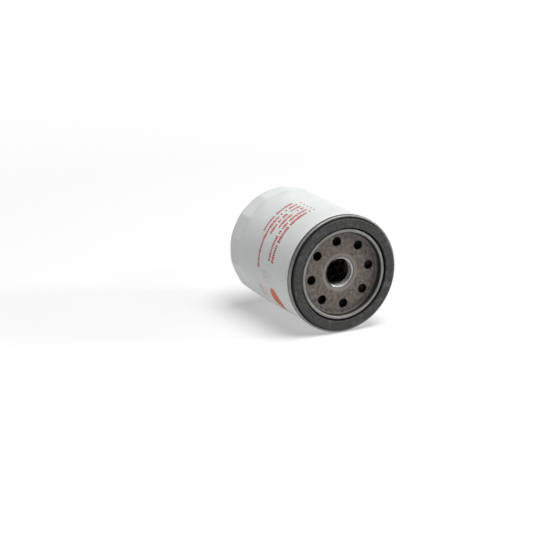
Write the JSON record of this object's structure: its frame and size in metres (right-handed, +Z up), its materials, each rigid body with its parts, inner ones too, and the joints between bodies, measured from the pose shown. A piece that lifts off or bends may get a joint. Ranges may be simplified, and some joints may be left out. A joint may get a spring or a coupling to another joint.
{
  "type": "oil filter",
  "caption": "Spin-on oil filter: white enamelled can with wrench flutes, rolled seam, rubber gasket, threaded plate with inlet holes, and pleated element with valves inside.",
  "frame": {"origin": "on the filter's axis in the outer face of the tapping plate, where the threaded hole opens", "axes": "+Y along the filter's axis towards its domed end, +Z up, with the filter lying on its side"},
  "size_m": [0.0756, 0.0874, 0.0756],
  "materials": {
    "can_enamel": "glossy white enamel",
    "lid_steel": "plated sheet",
    "sealant": "cured compound",
    "gasket_rubber": "matt moulded nitrile rubber",
    "plate_steel": "phosphated",
    "valve_rubber": "matt nitrile rubber",
    "cap_steel": "pressed sheet",
    "potting": "cured adhesive",
    "filter_paper": "resin-treated paper",
    "tube_steel": "bare perforated sheet",
    "spring_steel": "oiled spring sheet"
  },
  "bodies": {
    "filter": {"can": "can_enamel", "seaming_lid": "lid_steel", "seam_sealant": "sealant", "gasket": "gasket_rubber", "tapping_plate": "plate_steel", "drainback_valve_hub": "valve_rubber", "open_end_cap": "cap_steel", "closed_end_cap": "cap_steel", "open_end_potting": "potting", "closed_end_potting": "potting", "pleated_media": "filter_paper", "media_seam_clip": "cap_steel", "centre_tube": "tube_steel", "bypass_cage": "cap_steel", "bypass_seat": "cap_steel", "bypass_spring": "spring_steel", "retaining_spring": "spring_steel"},
    "drainback_lip": {"drainback_valve_lip": "valve_rubber"},
    "bypass_valve": {"bypass_disc": "cap_steel", "bypass_seal": "valve_rubber"}
  },
  "joints": [
    {"name": "drainback_lift", "type": "slide", "parent": "filter", "child": "drainback_lip", "axis": [0, 1, 0], "range_m": [0, 0.0012], "stiffness_N_per_m": 900, "springref_m": -0.001},
    {"name": "bypass_open", "type": "slide", "parent": "filter", "child": "bypass_valve", "axis": [0, -1, 0], "range_m": [0, 0.003], "stiffness_N_per_m": 1200, "springref_m": -0.01, "deforming": ["bypass_spring"]}
  ]
}
